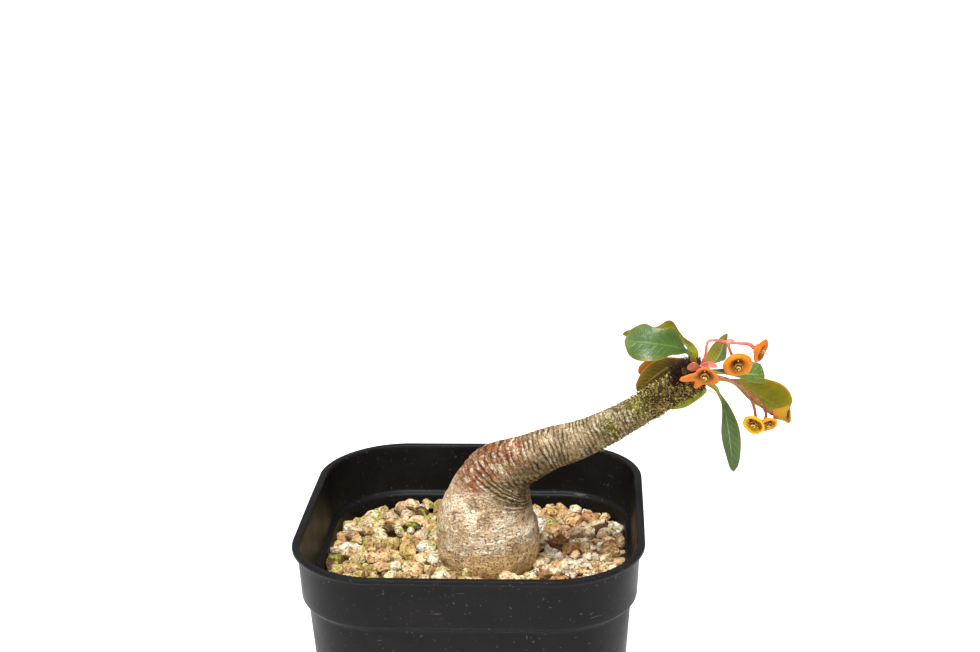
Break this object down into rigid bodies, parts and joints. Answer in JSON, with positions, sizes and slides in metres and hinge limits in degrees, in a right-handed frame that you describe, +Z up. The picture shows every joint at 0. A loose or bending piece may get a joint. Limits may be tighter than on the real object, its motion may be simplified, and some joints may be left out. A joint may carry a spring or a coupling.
{
  "type": "potted euphorbia",
  "caption": "Caudex-forming dwarf euphorbia with a leaning ringed stem, crown leaves and orange cyathia, in a square plastic nursery pot with gravel.",
  "frame": {"origin": "centre of the pot's flat underside, on the surface it stands on", "axes": "+Z up, out of the pot; +X is the side the stem leans to; +Y is the pot's back"},
  "size_m": [0.129, 0.09, 0.1317],
  "materials": {
    "pot_plastic": "satin moulded black plastic",
    "potting_mix": "matte, crumbly",
    "gravel": "matte, porous",
    "stone_pale": "matte, porous",
    "stone_tan": "matte, porous",
    "stone_brown": "matte, porous",
    "bark": "rough bark, ringed",
    "leaf": "waxy semi-gloss",
    "stalk": "waxy satin",
    "bract": "waxy satin",
    "flower_cup": "waxy satin"
  },
  "bodies": {
    "root": {"pot": "pot_plastic", "potting_mix": "potting_mix", "gravel_bed": "gravel", "caudex_stem": "bark", "stone_01": "stone_pale", "stone_02": "stone_pale", "stone_03": "stone_brown", "stone_04": "stone_pale", "stone_05": "stone_pale", "stone_06": "stone_pale", "stone_07": "stone_brown", "stone_08": "stone_tan", "stone_09": "stone_tan", "stone_10": "stone_tan", "stone_11": "stone_tan", "stone_12": "stone_tan", "leaf_1": "leaf", "leaf_2": "leaf", "leaf_3": "leaf", "leaf_4": "leaf", "leaf_5": "leaf", "leaf_6": "leaf", "leaf_7": "leaf", "leaf_8": "leaf", "leaf_9": "leaf", "leaf_10": "leaf", "flower_stalk_1": "stalk", "flower_stalk_2": "stalk", "flower_stalk_3": "stalk", "flower_1_bract_left": "bract", "flower_1_bract_right": "bract", "flower_1_cup": "flower_cup", "flower_2_bract_left": "bract", "flower_2_bract_right": "bract", "flower_2_cup": "flower_cup", "flower_3_bract_left": "bract", "flower_3_bract_right": "bract", "flower_3_cup": "flower_cup", "flower_4_bract_left": "bract", "flower_4_bract_right": "bract", "flower_4_cup": "flower_cup", "flower_5_bract_left": "bract", "flower_5_bract_right": "bract", "flower_5_cup": "flower_cup", "flower_6_bract_left": "bract", "flower_6_bract_right": "bract", "flower_6_cup": "flower_cup"}
  },
  "joints": []
}
